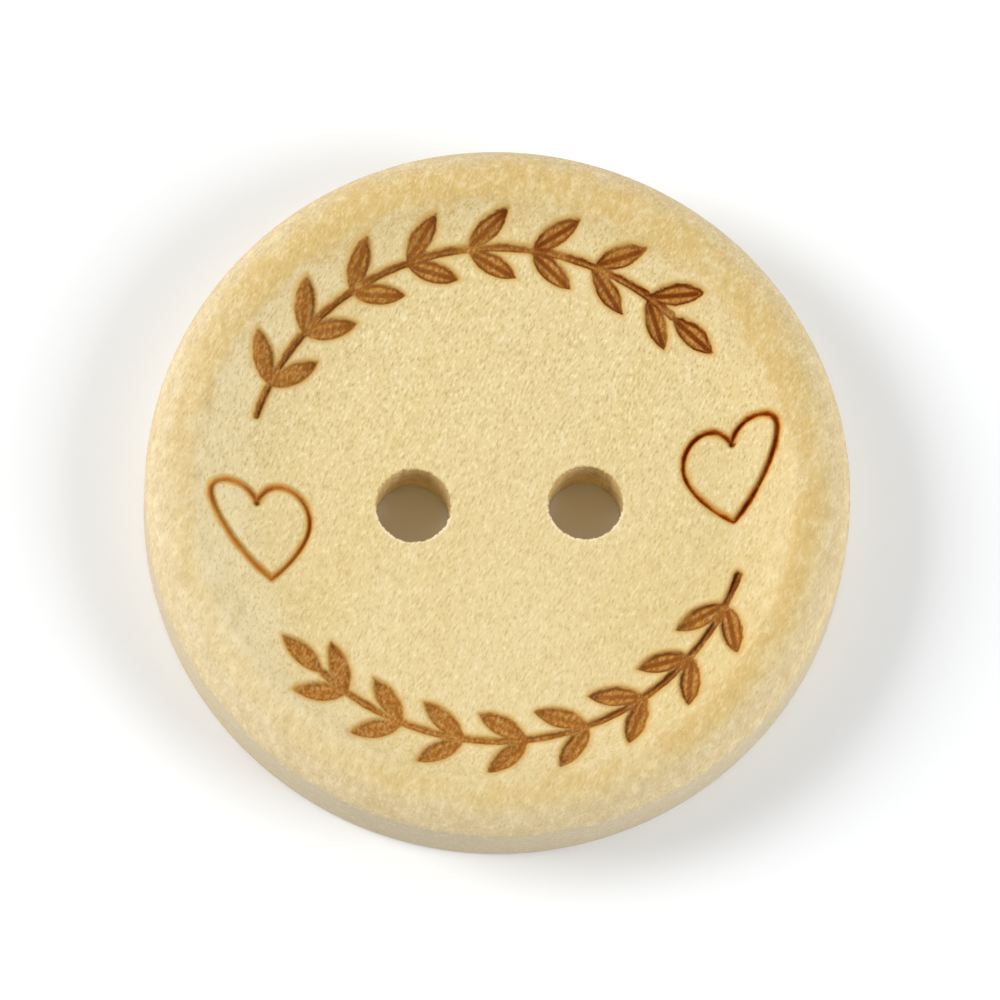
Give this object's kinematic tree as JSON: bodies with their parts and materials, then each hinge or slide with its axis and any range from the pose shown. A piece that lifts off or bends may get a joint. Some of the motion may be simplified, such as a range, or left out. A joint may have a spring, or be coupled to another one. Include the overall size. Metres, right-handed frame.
{
  "type": "wooden sewing button",
  "caption": "Round turned wooden sewing button with a dished face, broad rounded rim, flat back and through holes for thread, with hearts and leaf sprigs burnt into the dish.",
  "frame": {"origin": "centre of the flat back, on the surface the button lies on", "axes": "+Z out of the dished face, X along the line of the two sewing holes, +Y towards the top of the ornament"},
  "size_m": [0.025, 0.025, 0.0037],
  "materials": {
    "wood": "bare, finely sanded, soft sheen"
  },
  "bodies": {
    "root": {"button": "wood"}
  },
  "joints": []
}
